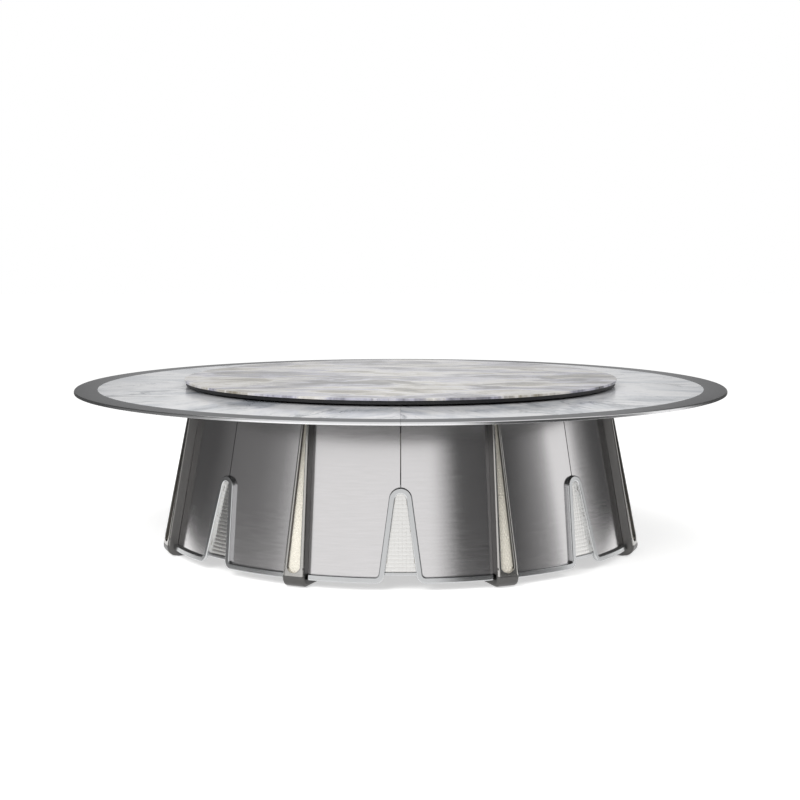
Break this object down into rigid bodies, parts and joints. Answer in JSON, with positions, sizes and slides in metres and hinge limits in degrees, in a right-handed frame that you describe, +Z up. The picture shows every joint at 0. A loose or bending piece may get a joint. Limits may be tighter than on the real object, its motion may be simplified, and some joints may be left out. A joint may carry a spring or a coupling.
{
  "type": "dining table with lazy susan",
  "caption": "Round stone-topped banquet table with a raised turning centre on a conical ribbed brushed-steel drum with arched notches.",
  "frame": {"origin": "on the floor under the table's centre", "axes": "+Z up; -Y is the front, towards a bay's middle; the drum's bays and ribs repeat about Z"},
  "size_m": [3.13, 3.13, 0.796],
  "materials": {
    "ring_stone": "polished pale marble with grey veins",
    "turntable_stone": "polished grey, beige and lavender marble",
    "dark_edge_steel": "dark brushed",
    "skirt_steel": "fine vertical brushing",
    "rib_steel": "satin",
    "trim_steel": "satin",
    "embossed_insert": "champagne, embossed",
    "woven_infill": "champagne brown, woven emboss",
    "carcass_steel": "black powder coat",
    "board": "black stained plywood",
    "black_board": "black lacquer",
    "race_aluminium": "extruded",
    "roller_steel": "ground",
    "cage_plastic": "natural nylon",
    "glide_rubber": "matte"
  },
  "bodies": {
    "table": {"bay_trims": "trim_steel", "carcass_posts": "carcass_steel", "centre_board": "board", "cross_beams": "carcass_steel", "deck_arms": "carcass_steel", "deck_boards": "board", "edge_band_1": "dark_edge_steel", "edge_band_2": "dark_edge_steel", "edge_band_3": "dark_edge_steel", "edge_band_4": "dark_edge_steel", "edge_band_5": "dark_edge_steel", "edge_band_6": "dark_edge_steel", "edge_band_7": "dark_edge_steel", "edge_band_8": "dark_edge_steel", "edge_packers": "board", "glide_pads": "glide_rubber", "hub_plate": "carcass_steel", "lower_former": "board", "lower_race": "race_aluminium", "middle_former": "board", "notch_infills": "woven_infill", "notch_sills": "trim_steel", "rib_1": "rib_steel", "rib_2": "rib_steel", "rib_3": "rib_steel", "rib_4": "rib_steel", "rib_5": "rib_steel", "rib_6": "rib_steel", "rib_7": "rib_steel", "rib_8": "rib_steel", "rib_inserts": "embossed_insert", "skirt_leaf_1": "skirt_steel", "skirt_leaf_2": "skirt_steel", "skirt_leaf_3": "skirt_steel", "skirt_leaf_4": "skirt_steel", "skirt_leaf_5": "skirt_steel", "skirt_leaf_6": "skirt_steel", "skirt_leaf_7": "skirt_steel", "skirt_leaf_8": "skirt_steel", "stone_ring_1": "ring_stone", "stone_ring_2": "ring_stone", "stone_ring_3": "ring_stone", "stone_ring_4": "ring_stone", "stone_ring_5": "ring_stone", "stone_ring_6": "ring_stone", "stone_ring_7": "ring_stone", "stone_ring_8": "ring_stone", "upper_former": "board"},
    "turntable": {"turntable_stones": "turntable_stone", "turntable_board": "black_board", "turntable_band": "black_board", "upper_race": "race_aluminium"},
    "roller_train": {"bearing_rollers": "roller_steel", "roller_cage": "cage_plastic"}
  },
  "joints": [
    {"name": "turntable_spin", "type": "hinge", "parent": "table", "child": "turntable", "pos_m": [0, 0, 0.755], "axis": [0, 0, 1], "continuous": true},
    {"name": "cage_orbit", "type": "hinge", "parent": "table", "child": "roller_train", "pos_m": [0, 0, 0.755], "axis": [0, 0, 1], "continuous": true}
  ],
  "couplings": [
    {"joint": "cage_orbit", "follows": "turntable_spin", "ratio": 0.5}
  ]
}
